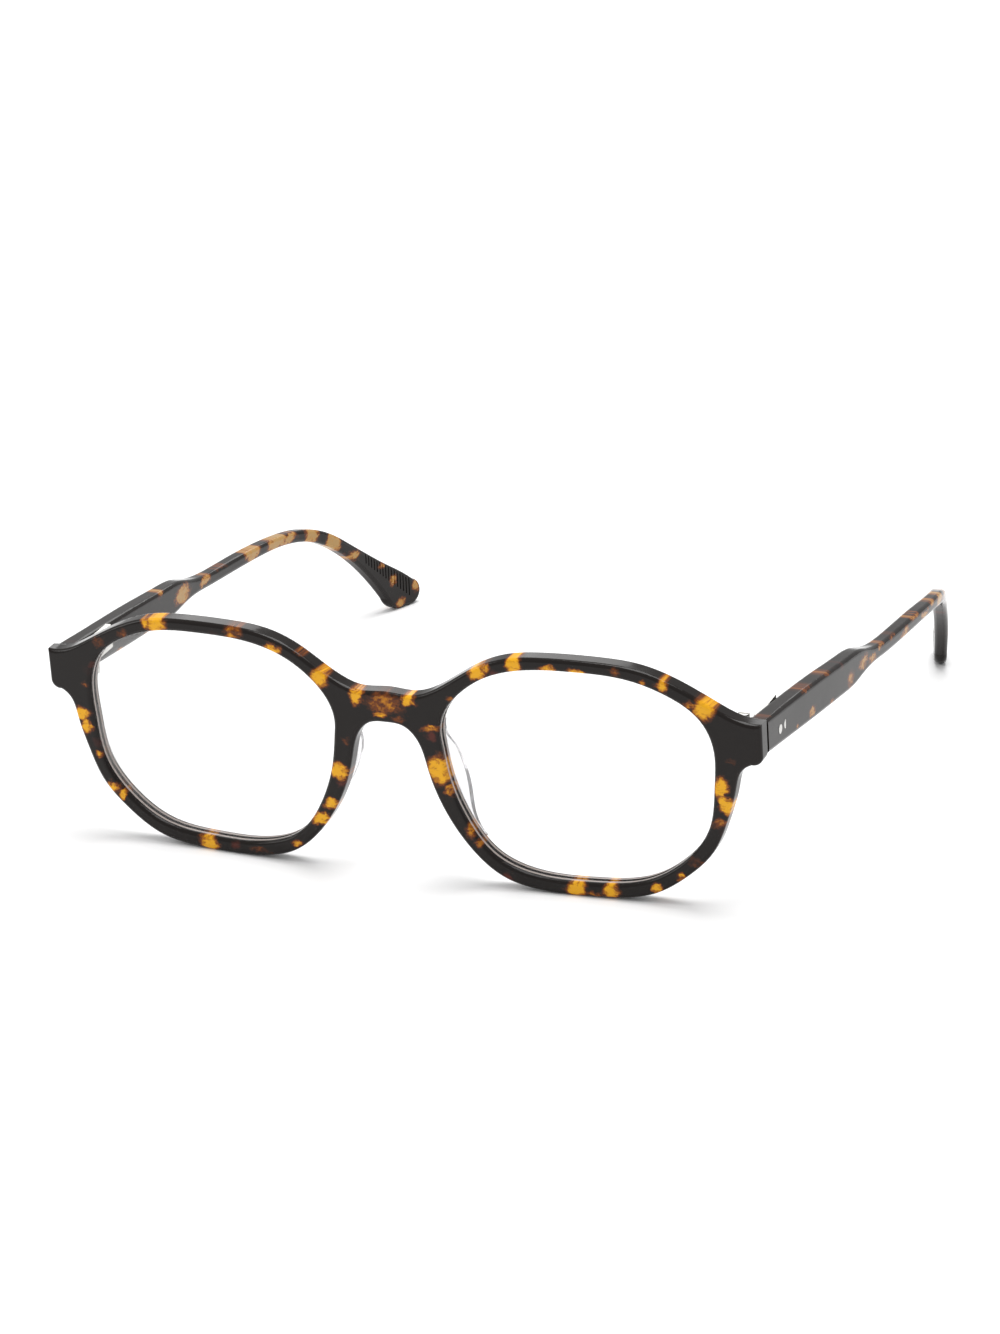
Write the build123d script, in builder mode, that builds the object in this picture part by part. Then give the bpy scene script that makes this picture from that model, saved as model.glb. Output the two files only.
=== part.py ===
import math
import os

from build123d import *

os.makedirs("parts", exist_ok=True)

# Eyeglasses with an acetate frame, standing on the rims and the temple tips.
# X runs across (+X is the wearer's left), the front faces -Y, the temples run
# back along +Y and Z is up.  Millimetres.

# the front
front_tilt = 4.1            # the top of the front leans forward, in degrees
front_radius = 570.0        # bow of the front, seen from above
front_thickness = 3.6
box_height = 23.2           # height of the lens centre line above the floor
front_at = -71.8            # the front plane, from the middle of the footprint
half_width = 69.3
edge_round = 0.7
joint_gap = 0.08            # between the end piece and the temple

# the lenses
lens_thickness = 1.8
lens_depth = 0.9            # from the front face to the lens
tongue_thickness = 0.8       # the lens's own rim, which sits in the groove
tongue_depth = 1.4
groove_depth = 0.6
lens_clearance = 0.04

# the nose pads
pad_round = 0.4
pad_gap = 0.02              # the bond line between pad and rim

# the temples
temple_thickness = 3.6
temple_round = 0.8
rib_count = 16
rib_pitch = 0.83
rib_width = 0.3
rib_depth = 0.22
rib_start = 128.5
rib_turn = 17.7

# the hinges
pin_across = 63.9           # pin axis, from the middle of the front
pin_back = 10.6             # pin axis, from the front plane
hinge_height = 8.2          # middle of the hinge, above the lens centre line
barrel_radius = 1.5
barrel_height = 1.0
barrel_gap = 0.08
screw_radius = 0.6
bore_clearance = 0.05
screw_head_radius = 1.05
screw_head_height = 0.5
anchor_height = 5.5         # the plate sunk in the front
leaf_height = 4.6           # the plate sunk in the temple
leaf_thickness = 1.0
leaf_end = 21.5             # rear end of the temple leaf, from the front plane
seat_clearance = 0.03
rivet_radius = 0.5
rivet_head_radius = 0.85
rivet_head_height = 0.5
rivet_face = 69.5           # outside of the heads, from the middle of the front
rivet_at = (13.1, 15.9)     # distance back of the two rivets
rivet_height = 31.8

tilt = math.radians(front_tilt)
front_up = (0, -math.sin(tilt), math.cos(tilt))
front_out = (0, -math.cos(tilt), -math.sin(tilt))
# facing: across and up on the front, with local Z out towards the viewer
facing = Plane(origin=(0, front_at, box_height), x_dir=(1, 0, 0), z_dir=front_out)
# plan: across and back, looking down the front's own upright
plan = Plane(origin=(0, front_at, box_height), x_dir=(1, 0, 0), z_dir=front_up)
# edge_on: back and up on the front, seen from its +X side
edge_on = Plane(
    origin=(0, front_at, box_height),
    x_dir=(0, math.cos(tilt), math.sin(tilt)),
    z_dir=(1, 0, 0),
)
# level: across and back on the floor; side_on: back and up, both from the front plane
level = Plane(origin=(0, front_at, 0), x_dir=(1, 0, 0), z_dir=(0, 0, 1))
side_on = Plane(origin=(0, front_at, 0), x_dir=(0, 1, 0), z_dir=(1, 0, 0))


def bow(across):
    return front_radius - math.sqrt(front_radius**2 - across**2)


def curved_layer(near, far):
    """A slab bowed like the front, between two depths behind its face."""
    edge = 80.0
    with BuildPart() as layer:
        with BuildSketch(plan.offset(-60)):
            with BuildLine():
                ThreePointArc((-edge, bow(edge) + near), (0, near), (edge, bow(edge) + near))
                Line((edge, bow(edge) + near), (edge, bow(edge) + far))
                ThreePointArc((edge, bow(edge) + far), (0, far), (-edge, bow(edge) + far))
                Line((-edge, bow(edge) + far), (-edge, bow(edge) + near))
            make_face()
        extrude(amount=120)
    return layer.part


# ------------------------------------------------------------------- outlines
lens_edge = [
    (10.3, 4.5), (11.2, 9.8), (14.6, 14.1), (19.6, 17.5), (26.5, 19.5),
    (36.0, 19.95), (45.5, 19.2), (52.6, 16.7), (58.2, 12.5), (60.4, 7.5),
    (60.4, 0.0), (59.0, -8.6), (54.2, -15.1), (47.5, -19.3), (37.0, -20.7),
    (26.5, -20.2), (19.4, -17.3), (14.6, -11.2), (11.4, -2.8),
]
top_edge = [
    (0, 12.9), (5.4, 12.7), (9.4, 14.1), (16.6, 18.7), (22.6, 21.3), (30.0, 22.2),
    (40.0, 22.15), (47.5, 21.3), (54.0, 18.9), (60.8, 15.1), (64.6, 13.1),
    (half_width, 12.3),
]
lower_edge = [
    (67.2, 4.5), (65.2, 2.9), (64.2, -0.6), (62.6, -6.2), (59.9, -12.6), (55.0, -17.8),
    (48.4, -21.9), (38.5, -23.3), (28.0, -23.1), (21.0, -21.4), (14.8, -16.3),
    (9.9, -8.6), (7.4, -1.4), (5.6, 4.3), (3.2, 6.55), (0, 6.95),
]


def across_middle(points):
    """The same points on the -X side, then the ones on the +X side."""
    return [(-u, v) for u, v in reversed(points)] + points[1:]


def grown(points, amount):
    """A closed outline's points, moved outwards by an amount."""
    moved = []
    for k, (u, v) in enumerate(points):
        before = points[k - 1]
        after = points[(k + 1) % len(points)]
        along = Vector(after[0] - before[0], after[1] - before[1]).normalized()
        moved.append((u - along.Y * amount, v + along.X * amount))
    return moved


def lens_layer(side, grow, near, far):
    """A bowed layer of the lens shape, its outline grown or shrunk."""
    with BuildPart() as layer:
        with BuildSketch(facing):
            with BuildLine():
                Spline([(side * u, v) for u, v in grown(lens_edge, grow)], periodic=True)
            make_face()
        extrude(amount=-20)
        add(curved_layer(near, far), mode=Mode.INTERSECT)
    return layer.part


# ---------------------------------------------------------------------- front
with BuildPart() as front:
    with BuildSketch(facing):
        with BuildLine():
            Spline(across_middle(top_edge))
            Line((half_width, 12.3), (half_width, 6.0))
            ThreePointArc((half_width, 6.0), (68.75, 4.95), (67.2, 4.5))
            Spline(lower_edge + [(-u, v) for u, v in reversed(lower_edge[:-1])])
            ThreePointArc((-67.2, 4.5), (-68.75, 4.95), (-half_width, 6.0))
            Line((-half_width, 6.0), (-half_width, 12.3))
        make_face()
    extrude(amount=-16)
    with BuildSketch(facing):
        for side in (1, -1):
            with BuildLine():
                Spline([(side * u, v) for u, v in lens_edge], periodic=True)
            make_face()
    extrude(amount=-16, mode=Mode.SUBTRACT)
    add(curved_layer(0, front_thickness), mode=Mode.INTERSECT)
    broad_faces = front.faces().sort_by(SortBy.AREA)[-2:]
    fillet(broad_faces[0].edges() + broad_faces[1].edges(), edge_round)
    for side in (1, -1):
        groove = lens_layer(
            side,
            groove_depth + lens_clearance,
            tongue_depth - lens_clearance,
            tongue_depth + tongue_thickness + lens_clearance,
        )
        add(groove, mode=Mode.SUBTRACT)


# --------------------------------------------------------------------- lenses
def lens(side):
    """A lens with a thin tongue round it, which sits in the rim's groove."""
    with BuildPart() as disc:
        add(lens_layer(side, -lens_clearance, lens_depth, lens_depth + lens_thickness))
        add(lens_layer(side, groove_depth, tongue_depth, tongue_depth + tongue_thickness))
    return disc.part


lens_left = lens(1)

# ------------------------------------------------------------------- nose pads
# the pad's foot along the rim, beside the lens and beside the nose
pad_lens_side = [
    (10.35, 7.6), (10.05, 4.5), (10.4, 0.8), (11.15, -2.8), (12.55, -7.0),
    (14.3, -11.2), (16.8, -14.8),
]
pad_nose_side = [
    (15.0, -15.3), (12.3, -11.6), (10.2, -7.4), (8.75, -3.0), (7.95, 0.8),
    (7.7, 4.5), (8.3, 7.4),
]
# its crest, as distance back and height
pad_crest = [
    (4.1, 8.4), (4.3, 6.6), (5.4, 3.8), (6.8, 2.0), (8.6, -1.2), (8.9, -4.8),
    (7.7, -8.0), (5.8, -10.8), (4.6, -13.4), (4.3, -16.2),
]
with BuildPart() as nose_pad:
    with BuildSketch(facing):
        with BuildLine():
            Spline(pad_lens_side)
            Line(pad_lens_side[-1], pad_nose_side[0])
            Spline(pad_nose_side)
            Line(pad_nose_side[-1], pad_lens_side[0])
        make_face()
    extrude(amount=-12)
    with BuildSketch(edge_on):
        with BuildLine():
            Spline(pad_crest)
            Line(pad_crest[-1], (2, pad_crest[-1][1]))
            Line((2, pad_crest[-1][1]), (2, pad_crest[0][1]))
            Line((2, pad_crest[0][1]), pad_crest[0])
        make_face()
    extrude(amount=30, mode=Mode.INTERSECT)
    add(curved_layer(front_thickness + pad_gap, 14), mode=Mode.INTERSECT)
    crest_face = nose_pad.faces().sort_by(Axis.Y)[-1]
    fillet(crest_face.edges(), pad_round)

# ------------------------------------------------------------- hinge positions
barrel_step = barrel_height + barrel_gap
front_barrels = (-2, 0, 2)
temple_barrels = (-1, 1)
hinge_half = 2 * barrel_step + barrel_height / 2


def barrel_plane(index):
    """Bottom of one of the hinge's five stacked barrels."""
    return plan.offset(hinge_height + index * barrel_step - barrel_height / 2)


# ------------------------------------------------- hinge leaf sunk in the front
anchor_across = 5.0
anchor_depth = 1.4
anchor_back = front_thickness + bow(pin_across) - anchor_depth + 0.1


def anchor(margin):
    """The plate of the front leaf, or the seat for it."""
    with BuildPart() as plate:
        with BuildSketch(plan.offset(hinge_height - anchor_height / 2 - margin)):
            with Locations((pin_across, anchor_back + anchor_depth / 2)):
                Rectangle(anchor_across + 2 * margin, anchor_depth + 2 * margin)
        extrude(amount=anchor_height + 2 * margin)
    return plate.part


with BuildPart() as front_leaf:
    add(anchor(0))
    for index in front_barrels:
        with BuildSketch(barrel_plane(index)):
            with Locations((pin_across, pin_back)):
                Circle(barrel_radius)
            with Locations((pin_across, (pin_back + anchor_back) / 2)):
                Rectangle(2 * barrel_radius - 0.4, pin_back - anchor_back)
        extrude(amount=barrel_height)
    with BuildSketch(barrel_plane(-3)):
        with Locations((pin_across, pin_back)):
            Circle(screw_radius + bore_clearance)
    extrude(amount=8, mode=Mode.SUBTRACT)

# ----------------------------------------------------------------- hinge screw
with BuildPart() as hinge_screw:
    with BuildSketch(plan.offset(hinge_height - hinge_half)):
        with Locations((pin_across, pin_back)):
            Circle(screw_radius)
    extrude(amount=2 * hinge_half + 0.05)
    with BuildSketch(plan.offset(hinge_height + hinge_half + 0.05)):
        with Locations((pin_across, pin_back)):
            Circle(screw_head_radius)
    extrude(amount=screw_head_height)
    with BuildSketch(plan.offset(hinge_height + hinge_half + screw_head_height - 0.15)):
        with Locations((pin_across, pin_back)):
            Rectangle(3, 0.3)
    extrude(amount=1, mode=Mode.SUBTRACT)

# ---------------------------------------------- hinge leaf on the temple, rivets
leaf_inner = 65.1           # its two faces, from the middle of the front
leaf_outer = leaf_inner + leaf_thickness


def temple_plate(margin):
    """The plate of the temple leaf, or the seat for it."""
    near = pin_back
    with BuildPart() as plate:
        with BuildSketch(plan.offset(hinge_height - leaf_height / 2 - margin)):
            with Locations(((leaf_inner + leaf_outer) / 2, (near + leaf_end) / 2)):
                Rectangle(leaf_thickness + 2 * margin, leaf_end - near + 2 * margin)
        extrude(amount=leaf_height + 2 * margin)
    return plate.part


def rod(back, radius, start, end):
    """A round rod along X at one rivet."""
    with BuildPart() as bar:
        with BuildSketch(side_on.offset(start)):
            with Locations((back, rivet_height)):
                Circle(radius)
        extrude(amount=end - start)
    return bar.part


def rivet(back, margin):
    """A rivet with a flush round head outside, or the hole for it."""
    head_start = rivet_face - rivet_head_height
    with BuildPart() as pin:
        add(rod(back, rivet_radius + margin, leaf_inner - margin, head_start))
        add(rod(back, rivet_head_radius + margin, head_start - margin, rivet_face + margin))
    return pin.part


with BuildPart() as temple_leaf:
    add(temple_plate(0))
    with BuildSketch(plan):
        with Locations((leaf_inner, pin_back)):
            Rectangle(4, 3.4)
    extrude(amount=20, mode=Mode.SUBTRACT)
    for index in temple_barrels:
        with BuildSketch(barrel_plane(index)):
            with Locations((pin_across, pin_back)):
                Circle(barrel_radius)
            with Locations((pin_across + 1.45, pin_back + 1.1)):
                Rectangle(1.5, 2.2)
        extrude(amount=barrel_height)
    with BuildSketch(barrel_plane(-3)):
        with Locations((pin_across, pin_back)):
            Circle(screw_radius + bore_clearance)
    extrude(amount=8, mode=Mode.SUBTRACT)
    for back in rivet_at:
        add(rod(back, rivet_radius + seat_clearance, 60, 68), mode=Mode.SUBTRACT)

# --------------------------------------------------------------------- temples
over = [
    (5, 35.75), (20, 34.95), (36, 34.0), (49, 33.0), (55, 32.35), (61, 30.7),
    (67.5, 29.6), (76, 29.0), (88, 28.3), (99, 27.3), (107, 26.25), (114, 24.5),
    (119.4, 21.9), (124.8, 18.25), (130.1, 14.5), (135.1, 11.0), (140.0, 7.7),
    (142.9, 5.4),
]
under = [
    (134.9, 3.0), (133.1, 5.5), (130.8, 8.4), (127.5, 12.0), (123.0, 16.0),
    (117.7, 19.7), (112.3, 22.3), (106, 23.9), (99, 24.9), (88, 25.75), (76, 26.35),
    (68, 26.85), (62, 27.25), (57, 27.1), (51.5, 26.6), (45, 26.8), (36, 27.3),
    (20, 28.3), (5, 29.4),
]
outer = [
    (69.3, 5), (69.5, 15), (70.3, 38), (70.9, 60), (71.1, 80), (70.9, 96),
    (69.6, 110), (66.7, 121.5), (64.4, 130), (61.6, 138), (57.4, 148.5),
]
inner = [
    (54.9, 148.7), (59.4, 136.6), (61.9, 128.5), (64.0, 120.5), (67.0, 108),
    (67.9, 94), (68.05, 75), (67.6, 58), (66.7, 38), (65.9, 15), (65.7, 5),
]
with BuildPart() as temple:
    with BuildSketch(side_on.offset(45)):
        with BuildLine():
            Spline(over)
            ThreePointArc(over[-1], (144.7, 3.0), (142.6, 0))
            Line((142.6, 0), (138.8, 0))
            ThreePointArc((138.8, 0), (136.6, 0.8), under[0])
            Spline(under)
            Line((5, 29.4), (5, 35.75))
        make_face()
    extrude(amount=35)
    with BuildSketch(level):
        with BuildLine():
            Spline(outer)
            Line(outer[-1], inner[0])
            Spline(inner)
            Line(inner[-1], outer[0])
        make_face()
    extrude(amount=60, mode=Mode.INTERSECT)
    long_edges = temple.edges().filter_by(lambda e: e.center().Y > front_at + 20)
    fillet(long_edges, temple_round)
    # the butt that meets the end piece, and the seats for leaf and rivets
    add(curved_layer(-10, front_thickness + joint_gap), mode=Mode.SUBTRACT)
    add(temple_plate(seat_clearance), mode=Mode.SUBTRACT)
    for back in rivet_at:
        add(rivet(back, seat_clearance), mode=Mode.SUBTRACT)
    # fine ribs across the inside of the tip
    for k in range(rib_count):
        run = k * rib_pitch
        across = 61.87 - 0.294 * run - 0.0022 * run**2
        middle = (across, front_at + rib_start + run, 14.0 - 0.793 * run)
        with Locations(Location(middle, (0, 0, rib_turn))):
            Box(2 * rib_depth, rib_width, 2.2 + 0.128 * run, mode=Mode.SUBTRACT)

# ------------------------------------------------------- seats in the front
for side in (1, -1):
    seat = anchor(seat_clearance)
    if side < 0:
        seat = mirror(seat, about=Plane.YZ)
    front.part = front.part - seat

# ---------------------------------------------------------------------- export
left_parts = {
    "lens": lens_left,
    "nose_pad": nose_pad.part,
    "hinge_front_leaf": front_leaf.part,
    "hinge_screw": hinge_screw.part,
    "hinge_temple_leaf": temple_leaf.part,
    "temple": temple.part,
}
for name, part in left_parts.items():
    part.label = name + "_left"
    export_step(part, "parts/" + part.label + ".step")
    twin = mirror(part, about=Plane.YZ)
    twin.label = name + "_right"
    export_step(twin, "parts/" + twin.label + ".step")
for place, back in zip(("front", "rear"), rivet_at):
    pin = rivet(back, 0)
    pin.label = "rivet_left_" + place
    export_step(pin, "parts/" + pin.label + ".step")
    twin = mirror(pin, about=Plane.YZ)
    twin.label = "rivet_right_" + place
    export_step(twin, "parts/" + twin.label + ".step")
front.part.label = "front"
export_step(front.part, "parts/front.step")
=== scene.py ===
"""Eyeglasses with a tortoiseshell acetate frame, on a plain pale floor."""

import math

import bpy
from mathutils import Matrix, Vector


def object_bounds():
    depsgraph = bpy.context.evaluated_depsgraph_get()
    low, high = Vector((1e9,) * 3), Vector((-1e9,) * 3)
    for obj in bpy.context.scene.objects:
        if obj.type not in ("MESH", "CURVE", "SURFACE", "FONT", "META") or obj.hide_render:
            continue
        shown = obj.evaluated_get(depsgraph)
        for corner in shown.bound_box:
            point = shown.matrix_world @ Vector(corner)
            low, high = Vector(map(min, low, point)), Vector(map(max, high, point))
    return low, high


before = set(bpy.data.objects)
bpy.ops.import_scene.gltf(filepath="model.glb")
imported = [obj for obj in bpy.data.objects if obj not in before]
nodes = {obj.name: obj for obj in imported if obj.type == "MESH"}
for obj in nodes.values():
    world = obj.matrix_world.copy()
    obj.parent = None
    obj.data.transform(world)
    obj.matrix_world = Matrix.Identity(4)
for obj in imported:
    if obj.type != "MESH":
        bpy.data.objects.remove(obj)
cad_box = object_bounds()
MM = 0.001

# The front plane's distance behind the middle of the footprint, and the height
# of the lens centre line, as in the CAD part.
FRONT_AT = -71.8
LENS_HEIGHT = 23.2
FRONT_TILT = 4.1


# ------------------------------------------------------------ node shorthand
class Tree:
    """A material's node tree, with one short call for each kind of node."""

    def __init__(self, name):
        self.material = bpy.data.materials.new(name)
        self.material.use_nodes = True
        self.tree = self.material.node_tree
        self.tree.nodes.clear()
        self.out = self.tree.nodes.new("ShaderNodeOutputMaterial")

    def node(self, kind, **settings):
        made = self.tree.nodes.new("ShaderNode" + kind)
        for key, value in settings.items():
            setattr(made, key, value)
        return made

    def link(self, value, socket):
        if isinstance(value, bpy.types.NodeSocket):
            self.tree.links.new(value, socket)
        else:
            socket.default_value = value

    def math(self, operation, a, b=0.0):
        made = self.node("Math", operation=operation)
        self.link(a, made.inputs[0])
        self.link(b, made.inputs[1])
        return made.outputs[0]

    def vector(self, operation, a, b=(0, 0, 0)):
        made = self.node("VectorMath", operation=operation)
        self.link(a, made.inputs[0])
        self.link(b, made.inputs[1])
        return made.outputs["Value" if operation in ("LENGTH", "DOT_PRODUCT") else "Vector"]

    def noise(self, at, scale, detail=3.0, roughness=0.5, colour=False):
        made = self.node("TexNoise")
        self.link(at, made.inputs["Vector"])
        made.inputs["Scale"].default_value = scale
        made.inputs["Detail"].default_value = detail
        made.inputs["Roughness"].default_value = roughness
        return made.outputs["Color" if colour else "Fac"]

    def spread(self, value, low, high, to_low=0.0, to_high=1.0):
        made = self.node("MapRange", interpolation_type="SMOOTHSTEP")
        for socket, number in zip(made.inputs, (value, low, high, to_low, to_high)):
            self.link(number, socket)
        return made.outputs["Result"]

    def mix(self, factor, a, b):
        made = self.node("Mix", data_type="RGBA")
        self.link(factor, made.inputs[0])
        self.link(a, made.inputs[6])
        self.link(b, made.inputs[7])
        return made.outputs[2]

    def ramp(self, value, stops):
        made = self.node("ValToRGB")
        band = made.color_ramp
        band.elements[0].position, band.elements[0].color = stops[0]
        band.elements[1].position, band.elements[1].color = stops[-1]
        for position, colour in stops[1:-1]:
            band.elements.new(position).color = colour
        self.link(value, made.inputs["Fac"])
        return made.outputs["Color"]

    def surface(self, **values):
        shader = self.node("BsdfPrincipled")
        for key, value in values.items():
            self.link(value, shader.inputs[key.replace("_", " ")])
        self.tree.links.new(shader.outputs[0], self.out.inputs["Surface"])

    def bump(self, height, strength, distance):
        made = self.node("Bump")
        made.inputs["Strength"].default_value = strength
        made.inputs["Distance"].default_value = distance
        self.link(height, made.inputs["Height"])
        return made.outputs["Normal"]


# ------------------------------------------------------- tortoiseshell acetate
BLACK = (0.011, 0.0085, 0.0075, 1)
BROWN = (0.045, 0.016, 0.008, 1)
RUST = (0.160, 0.042, 0.008, 1)
AMBER = (0.470, 0.175, 0.010, 1)
YELLOW = (0.760, 0.375, 0.014, 1)
TAN = (0.400, 0.240, 0.085, 1)
DULL_RED = (0.105, 0.022, 0.014, 1)

# Patches in the front's sheet: across, and up from the lens centre line, in mm;
# half-width, half-height, and how bright the middle is (1 is full yellow).
FRONT_PATCHES = [
    # bridge
    (0.2, 10.8, 5.2, 2.6, 0.50), (4.8, 12.1, 1.5, 1.5, 1.0), (-5.3, 11.7, 1.6, 1.9, 1.0),
    (-0.8, 8.8, 1.7, 1.3, 0.72), (2.6, 8.2, 2.0, 1.2, 0.38), (8.8, 6.7, 2.4, 0.9, 0.66),
    # +X rim, from the nose round the bottom to the end piece
    (9.8, -0.9, 2.6, 3.2, 1.0), (8.9, 0.2, 1.9, 1.6, 0.9), (11.6, -4.6, 1.3, 1.6, 0.7),
    (15.0, -12.2, 1.5, 2.3, 0.62), (16.8, -14.8, 1.6, 1.2, 0.50),
    (34.4, -21.7, 2.2, 2.6, 1.0), (40.9, -21.4, 2.0, 2.2, 0.95), (49.4, -20.1, 1.2, 1.4, 0.85),
    (38.0, -22.6, 2.4, 0.9, 0.45), (53.8, -17.6, 0.9, 0.9, 0.70), (61.7, 0.4, 1.7, 2.6, 0.95),
    (62.6, -2.8, 1.6, 2.9, 0.95), (61.2, -6.8, 1.6, 1.3, 0.45), (63.3, 5.4, 1.2, 0.8, 0.30),
    (57.0, -14.5, 2.2, 1.2, 0.30),
    # +X rim, over the top
    (59.4, 15.0, 2.3, 2.8, 1.0), (57.0, 15.4, 1.6, 1.2, 0.55), (52.3, 18.8, 1.3, 1.5, 0.80),
    (55.0, 20.2, 1.6, 1.0, 0.62), (48.8, 19.0, 1.0, 0.8, 0.62), (43.6, 20.8, 1.6, 1.3, 0.42),
    (45.0, 22.9, 1.8, 0.6, 0.60), (37.2, 20.3, 2.2, 1.0, 0.85), (31.4, 20.2, 2.0, 0.9, 0.80),
    (25.1, 21.4, 1.6, 3.2, 1.0), (18.2, 18.7, 1.9, 2.1, 1.0), (19.9, 19.6, 1.6, 1.2, 0.7),
    (12.8, 13.2, 0.9, 0.9, 0.50),
    # -X rim, over the top
    (-12.4, 14.4, 2.1, 2.0, 0.95), (-10.6, 15.7, 1.5, 1.4, 0.80), (-14.6, 18.7, 2.4, 1.0, 0.66),
    (-21.4, 18.9, 2.4, 1.2, 0.80), (-22.6, 22.6, 2.2, 0.9, 0.80), (-29.0, 21.4, 3.0, 1.5, 0.42),
    (-29.5, 20.2, 2.2, 0.7, 0.55), (-45.0, 21.3, 2.6, 3.4, 1.0), (-47.2, 20.6, 1.4, 1.6, 0.7),
    (-52.2, 18.2, 1.4, 1.4, 0.34), (-58.0, 15.6, 2.0, 1.6, 0.36), (-61.9, 6.8, 1.0, 0.8, 0.36),
    # -X rim, from the end piece round the bottom to the nose
    (-63.2, 0.4, 2.3, 1.7, 0.95), (-62.3, -2.0, 1.5, 1.9, 1.0), (-60.1, -7.0, 0.9, 1.0, 0.70),
    (-57.6, -13.3, 1.7, 1.4, 0.82), (-56.0, -14.9, 1.2, 1.2, 0.82), (-38.2, -21.9, 2.2, 2.6, 1.0),
    (-27.5, -21.8, 3.2, 0.8, 0.36), (-19.6, -19.3, 1.5, 1.0, 0.68), (-14.3, -13.5, 2.1, 1.9, 1.0),
    (-12.2, -10.3, 1.8, 1.3, 0.92), (-9.9, -3.5, 2.2, 1.9, 0.95), (-8.2, 2.6, 1.2, 0.9, 0.28),
]
# Patches in the temples' sheet: distance back from the front plane and height, in mm.
LEFT_TEMPLE_PATCHES = [
    (9, 35.8, 5.0, 0.8, 0.60), (22, 29.3, 1.0, 0.6, 0.60), (29, 29.6, 2.0, 1.2, 0.72),
    (27, 34.6, 4.0, 0.6, 0.42), (37, 34.2, 3.5, 0.6, 0.40), (39, 27.8, 1.6, 0.8, 0.55),
    (49, 28.6, 2.4, 2.2, 0.52), (56, 29.6, 3.4, 1.5, 0.66), (61, 28.6, 3.0, 1.2, 0.66),
    (66, 29.4, 2.5, 0.8, 0.55), (73, 28.9, 2.6, 0.7, 0.42), (80, 27.2, 3.5, 0.9, 0.62),
    (87, 28.2, 3.2, 0.7, 0.56), (93, 26.6, 3.4, 1.0, 0.72), (99, 27.2, 2.6, 0.8, 0.60),
    (105, 25.6, 3.4, 1.6, 0.86), (111, 24.6, 2.6, 1.0, 0.66), (118, 20.6, 1.6, 1.0, 0.46),
    (131, 9.8, 1.4, 0.9, 0.40), (141, 3.2, 1.4, 1.2, 0.46),
]
RIGHT_TEMPLE_PATCHES = [
    (26, 28.2, 2.2, 0.8, 0.62), (38, 27.6, 2.6, 0.8, 0.50), (46, 33.0, 1.9, 0.8, 0.66),
    (55, 29.5, 4.2, 2.2, 0.95), (66, 28.8, 2.8, 1.3, 0.82), (75, 29.6, 4.0, 1.2, 0.44),
    (88, 27.6, 4.2, 2.0, 0.92), (99, 26.6, 5.2, 2.1, 1.0), (104, 25.6, 3.4, 1.5, 0.85),
    (112, 24.0, 2.8, 2.4, 0.92), (118.5, 20.2, 2.7, 3.2, 1.0), (124.6, 15.6, 2.4, 1.4, 0.78),
    (133.2, 11.2, 1.3, 1.0, 0.55), (136.5, 6.8, 1.4, 1.6, 0.66), (142.9, 4.0, 1.6, 1.8, 0.78),
    (138.4, 1.6, 1.6, 1.4, 0.70), (11, 31.0, 3.0, 0.8, 0.30),
]


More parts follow.
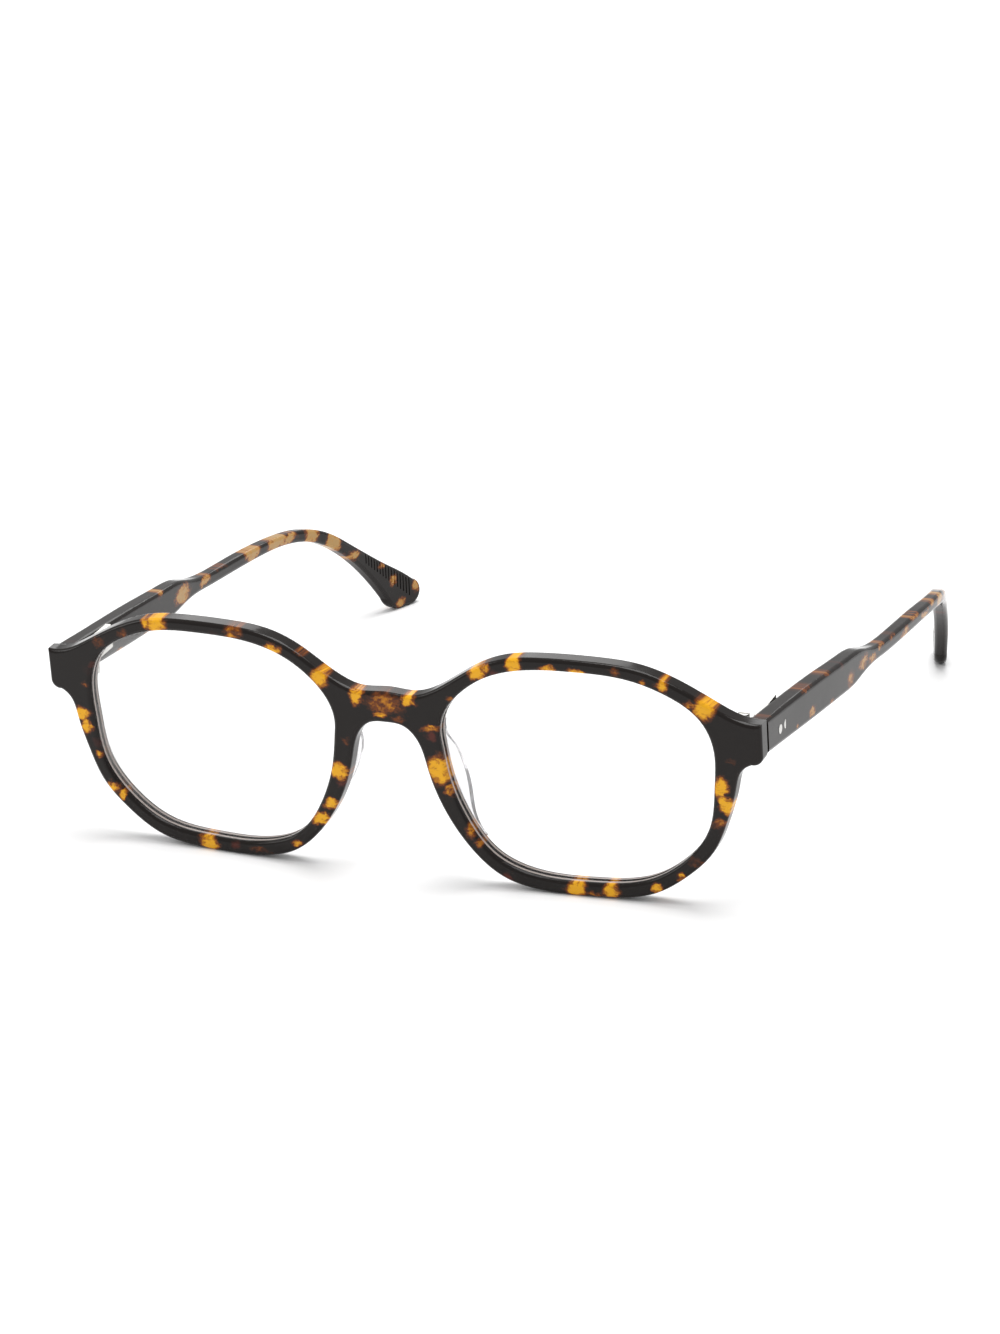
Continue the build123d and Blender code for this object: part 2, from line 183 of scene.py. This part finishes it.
def tortoiseshell(name, patches, on_front):
    """Dark acetate with amber patches that run straight through its thickness."""
    t = Tree(name)
    at = t.node("TexCoord").outputs["Object"]
    parts = t.node("SeparateXYZ")
    t.link(at, parts.inputs[0])
    sheet = t.node("CombineXYZ")
    if on_front:
        # across, and up from the lens centre line
        run = t.math("DIVIDE", parts.outputs[0], MM)
        rise = t.math("SUBTRACT", t.math("DIVIDE", parts.outputs[2], MM), LENS_HEIGHT)
    else:
        # back from the front plane, and height
        run = t.math("SUBTRACT", t.math("DIVIDE", parts.outputs[1], MM), FRONT_AT)
        rise = t.math("DIVIDE", parts.outputs[2], MM)
    t.link(run, sheet.inputs[0])
    t.link(rise, sheet.inputs[1])
    flat = sheet.outputs[0]
    # ragged, smeared edges
    coarse = t.vector("SUBTRACT", t.noise(flat, 0.33, 2, 0.5, True), (0.5, 0.5, 0.5))
    fine = t.vector("SUBTRACT", t.noise(flat, 1.3, 3, 0.6, True), (0.5, 0.5, 0.5))
    coarse = t.vector("MULTIPLY", coarse, (2.2, 2.2, 0))
    fine = t.vector("MULTIPLY", fine, (1.1, 1.1, 0))
    moved = t.vector("ADD", t.vector("ADD", flat, coarse), fine)
    field = 0.0
    for run_at, rise_at, half_run, half_rise, bright in patches:
        away = t.vector("SUBTRACT", moved, (run_at, rise_at, 0))
        away = t.vector("MULTIPLY", away, (1 / half_run, 1 / half_rise, 0))
        spot = t.spread(t.vector("LENGTH", away), 1.35, 0.15, 0.0, bright)
        field = t.math("MAXIMUM", field, spot)
    clouds = t.noise(flat, 0.55, 4, 0.6)
    streaks = t.noise(t.vector("MULTIPLY", moved, (0.8, 1.6, 0)), 1.0, 4, 0.65)
    field = t.math("MULTIPLY", field, t.spread(streaks, 0.30, 0.62, 0.62, 1.12))
    field = t.math("ADD", field, t.spread(clouds, 0.40, 0.75, -0.04, 0.16))
    light = YELLOW if on_front else TAN
    middle = AMBER if on_front else tuple(0.5 * (a + b) for a, b in zip(AMBER, TAN))
    colour = t.ramp(field, [
        (0.0, BLACK), (0.14, BLACK), (0.27, BROWN), (0.42, RUST), (0.60, middle), (0.80, light),
    ])
    # small dull red flecks in the dark parts
    cells = t.node("TexVoronoi")
    t.link(moved, cells.inputs["Vector"])
    cells.inputs["Scale"].default_value = 0.22
    fleck = t.spread(cells.outputs["Distance"], 0.30, 0.08)
    fleck = t.math("MULTIPLY", fleck, t.spread(field, 0.30, 0.10))
    pick = t.node("SeparateColor")
    t.link(cells.outputs["Color"], pick.inputs[0])
    fleck = t.math("MULTIPLY", fleck, t.spread(pick.outputs[0], 0.62, 0.80))
    colour = t.mix(t.math("MULTIPLY", fleck, 0.75), colour, DULL_RED)
    # polished, with slight haze and a faint waviness
    rough = t.spread(t.noise(at, 260, 3), 0.3, 0.7, 0.07, 0.15)
    wave = t.bump(t.noise(at, 120, 2), 0.10, 0.0004)
    t.surface(Base_Color=colour, Roughness=rough, IOR=1.49, Specular_IOR_Level=0.20, Normal=wave)
    return t.material


# ------------------------------------------------------------ clear materials
def clear_lens():
    """A clear lens: nearly invisible faces and a ground edge, with a painted pinkish-brown tint on the edge
    standing in for the dark rim seen refracted through it.
    """
    t = Tree("clear_lens")
    tilt = math.radians(FRONT_TILT)
    outward = (0, -math.cos(tilt), -math.sin(tilt))
    normal = t.node("NewGeometry").outputs["Normal"]
    facing = t.math("ABSOLUTE", t.vector("DOT_PRODUCT", normal, outward))
    edge = t.spread(facing, 0.6, 0.3)
    fresnel = t.node("Fresnel")
    fresnel.inputs["IOR"].default_value = 1.5
    at = t.node("TexCoord").outputs["Object"]
    grain = t.noise(at, 900, 2)
    see = t.math("ADD", t.math("MULTIPLY", fresnel.outputs[0], 0.35), 0.012)
    # Painted refraction: the edge faces get a pinkish-brown tint and more opacity, standing in for the dark
    # acetate rim seen through the lens edge; their extra roughness is the real ground edge.
    alpha = t.math("MAXIMUM", see, t.math("MULTIPLY", edge, 0.42))
    colour = t.mix(edge, (0.97, 0.98, 0.98, 1), (0.86, 0.74, 0.68, 1))
    rough = t.math("ADD", t.math("MULTIPLY", edge, 0.3), t.math("MULTIPLY", grain, 0.03))
    t.surface(Base_Color=colour, Roughness=rough, Alpha=alpha, IOR=1.5)
    return t.material


def crystal():
    """Clear crystal acetate of the nose pads."""
    t = Tree("crystal_acetate")
    at = t.node("TexCoord").outputs["Object"]
    cloud = t.noise(at, 180, 2)
    colour = t.mix(cloud, (0.93, 0.93, 0.95, 1), (0.86, 0.85, 0.87, 1))
    rough = t.spread(t.noise(at, 500, 2), 0.3, 0.7, 0.03, 0.09)
    t.surface(Base_Color=colour, Roughness=rough, IOR=1.49, Transmission_Weight=0.88)
    return t.material


def metal(name, colour, along):
    """Nickel-coloured metal with fine machining lines."""
    t = Tree(name)
    at = t.node("TexCoord").outputs["Object"]
    lines = t.noise(t.vector("MULTIPLY", at, along), 1.0, 3, 0.6)
    dark = tuple(0.78 * c for c in colour[:3]) + (1,)
    tint = t.mix(t.spread(lines, 0.3, 0.7), dark, colour)
    rough = t.spread(lines, 0.3, 0.7, 0.2, 0.34)
    t.surface(Base_Color=tint, Metallic=1.0, Roughness=rough, Normal=t.bump(lines, 0.12, 0.0001))
    return t.material


materials = {
    "front": tortoiseshell("tortoiseshell_front", FRONT_PATCHES, True),
    "temple_left": tortoiseshell("tortoiseshell_left_temple", LEFT_TEMPLE_PATCHES, False),
    "temple_right": tortoiseshell("tortoiseshell_right_temple", RIGHT_TEMPLE_PATCHES, False),
    "lens": clear_lens(),
    "nose_pad": crystal(),
    "hinge": metal("hinge_metal", (0.66, 0.65, 0.62, 1), (900, 900, 6000)),
    "rivet": metal("rivet_metal", (0.62, 0.61, 0.59, 1), (5000, 5000, 900)),
}
for node_name, node in nodes.items():
    key = next(k for k in materials if node_name.startswith(k))
    node.data.materials.clear()
    node.data.materials.append(materials[key])


# ------------------------------------------------------------- floor and light
def floor_material():
    t = Tree("pale_floor")
    at = t.node("TexCoord").outputs["Object"]
    colour = t.mix(t.noise(at, 9, 2), (0.93, 0.93, 0.93, 1), (0.95, 0.95, 0.95, 1))
    t.surface(Base_Color=colour, Roughness=0.85, Specular_IOR_Level=0.1)
    return t.material


floor_mesh = bpy.data.meshes.new("floor")
FLOOR_REACH = 6.0
FLOOR_GAP = 0.00005
floor_mesh.from_pydata(
    [(across * FLOOR_REACH, back * FLOOR_REACH, 0) for across, back in ((-1, -1), (1, -1), (1, 1), (-1, 1))],
    [],
    [(0, 1, 2, 3)],
)
floor = bpy.data.objects.new("floor", floor_mesh)
floor.location.z = cad_box[0].z - FLOOR_GAP
floor_mesh.materials.append(floor_material())
bpy.context.scene.collection.objects.link(floor)

STUDIO_STRENGTH = 0.62
world = bpy.data.worlds.new("studio")
world.use_nodes = True
world.node_tree.nodes["Background"].inputs["Color"].default_value = (1, 1, 1, 1)
world.node_tree.nodes["Background"].inputs["Strength"].default_value = STUDIO_STRENGTH
bpy.context.scene.world = world


def soft_light(name, place, target, width, height, power):
    """A rectangular softbox."""
    data = bpy.data.lights.new(name, "AREA")
    data.shape = "RECTANGLE"
    data.size, data.size_y = width, height
    data.energy = power
    lamp = bpy.data.objects.new(name, data)
    lamp.location = place
    lamp.rotation_euler = (Vector(target) - Vector(place)).to_track_quat("-Z", "Y").to_euler()
    bpy.context.scene.collection.objects.link(lamp)


soft_light("overhead", (0.1, 0.1, 1.3), (0, 0, 0), 0.8, 0.8, 14)
soft_light("behind", (-0.55, 1.15, 0.75), (0, 0, 0.02), 1.1, 0.35, 2.6)
soft_light("left_side", (-1.2, -0.5, 0.7), (0, 0, 0.02), 0.5, 0.8, 4)

# ---------------------------------------------------------------------- camera
# In metres and degrees; it stands CAMERA_FORWARD mm in front of the front plane.
CAMERA_ACROSS, CAMERA_FORWARD, CAMERA_HEIGHT = 0.3061, 666.35, 0.3020
CAMERA_TURN = (70.3035, 2.0149, 22.3422)
FOCAL_LENGTH = 118.74
camera_data = bpy.data.cameras.new("camera")
camera_data.lens = FOCAL_LENGTH
camera_data.sensor_width = 36.0
camera_data.clip_start = 0.05
camera = bpy.data.objects.new("camera", camera_data)
camera.location = (CAMERA_ACROSS, (FRONT_AT - CAMERA_FORWARD) * MM, CAMERA_HEIGHT)
camera.rotation_euler = [math.radians(a) for a in CAMERA_TURN]
bpy.context.scene.collection.objects.link(camera)
bpy.context.scene.camera = camera
bpy.context.scene.view_settings.view_transform = "Standard"
